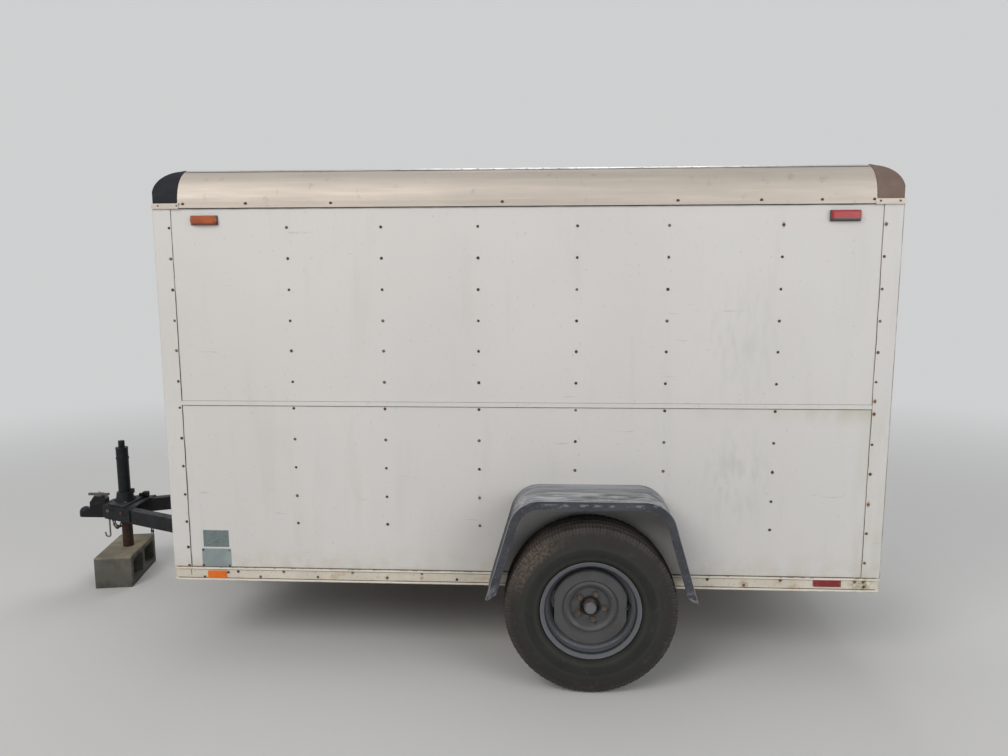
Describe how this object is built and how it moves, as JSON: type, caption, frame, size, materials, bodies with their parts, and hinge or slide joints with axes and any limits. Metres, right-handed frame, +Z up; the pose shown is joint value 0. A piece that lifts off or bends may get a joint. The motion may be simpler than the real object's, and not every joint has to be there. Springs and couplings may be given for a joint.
{
  "type": "enclosed utility trailer",
  "caption": "Enclosed single-axle utility trailer with a ball coupler, tongue jack on a block, rounded roof coves, outside fenders and double rear doors.",
  "frame": {"origin": "on the ground, below the middle of the overall box", "axes": "+X from the coupler to the rear doors, -Y the left side, +Z up"},
  "size_m": [4.155, 2.35, 2.171],
  "materials": {
    "frame_black": "worn satin black paint over steel",
    "cross_black": "road-dirty black paint",
    "deck_wood": "bare plywood",
    "wall_white": "chalky white enamel on sheet",
    "post_white": "chalky white enamel on sheet",
    "rail_white": "oxidised white extrusion",
    "cove_metal": "mill finish, weathered",
    "roof_metal": "mill finish, weathered",
    "cap_brown": "faded moulded plastic",
    "door_white": "white enamel on sheet",
    "lock_zinc": "zinc plated",
    "fender_black": "weathered black with chalky streaks",
    "axle_black": "black paint, some rust",
    "spring_steel": "dirty spring steel",
    "tyre": "dusty rubber",
    "rim_grey": "dark grey paint with rust marks",
    "hub_grey": "greasy dark steel",
    "coupler_black": "worn black paint",
    "latch_zinc": "dull zinc",
    "jack_black": "worn black paint",
    "leg_rust": "rusty steel tube",
    "block_concrete": "weathered concrete",
    "chain_zinc": "dull zinc",
    "lamp_amber": "amber lens",
    "lamp_red": "red lens"
  },
  "bodies": {
    "chassis": {"frame_rail_left": "frame_black", "frame_rail_right": "frame_black", "tongue_rail_left": "frame_black", "tongue_rail_right": "frame_black", "cross_members": "cross_black", "floor_deck": "deck_wood", "side_wall_lower_left": "wall_white", "side_wall_upper_left": "wall_white", "side_wall_lower_right": "wall_white", "side_wall_upper_right": "wall_white", "front_wall_lower": "wall_white", "front_wall_upper": "wall_white", "corner_posts_front": "post_white", "corner_posts_rear": "post_white", "corner_caps": "cap_brown", "side_coves": "cove_metal", "end_coves": "cove_metal", "roof_panel": "roof_metal", "belt_trims": "post_white", "bottom_rails": "rail_white", "rear_frame": "post_white", "fender_left": "fender_black", "fender_right": "fender_black", "axle_beam": "axle_black", "leaf_springs": "spring_steel", "spring_hangers": "axle_black", "coupler": "coupler_black", "coupler_latch": "latch_zinc", "jack_tube": "jack_black", "jack_flange": "jack_black", "safety_chains": "chain_zinc", "marker_lamps_amber": "lamp_amber", "marker_lamps_red": "lamp_red", "reflectors_amber": "lamp_amber", "reflectors_red": "lamp_red", "tail_lamps": "lamp_red"},
    "wheel_left": {"tyre_left": "tyre", "rim_left": "rim_grey", "hub_left": "hub_grey"},
    "wheel_right": {"tyre_right": "tyre", "rim_right": "rim_grey", "hub_right": "hub_grey"},
    "jack_foot": {"jack_leg": "leg_rust", "support_block": "block_concrete"},
    "door_left": {"rear_door_left": "door_white", "lock_bar_left": "lock_zinc"},
    "door_right": {"rear_door_right": "door_white", "lock_bar_right": "lock_zinc"}
  },
  "joints": [
    {"name": "wheel_left_spin", "type": "hinge", "parent": "chassis", "child": "wheel_left", "pos_m": [0.7845, -1.06, 0.36], "axis": [0, 1, 0], "continuous": true},
    {"name": "wheel_right_spin", "type": "hinge", "parent": "chassis", "child": "wheel_right", "pos_m": [0.7845, 1.06, 0.36], "axis": [0, 1, 0], "continuous": true},
    {"name": "jack_slide", "type": "slide", "parent": "chassis", "child": "jack_foot", "axis": [0, 0, 1], "range_m": [-0.2, 0.05]},
    {"name": "door_left_hinge", "type": "hinge", "parent": "chassis", "child": "door_left", "pos_m": [2.0465, -0.8325, 1.19], "axis": [0, 0, -1], "range_deg": [0, 180]},
    {"name": "door_right_hinge", "type": "hinge", "parent": "chassis", "child": "door_right", "pos_m": [2.0465, 0.8325, 1.19], "axis": [0, 0, 1], "range_deg": [0, 180]}
  ]
}
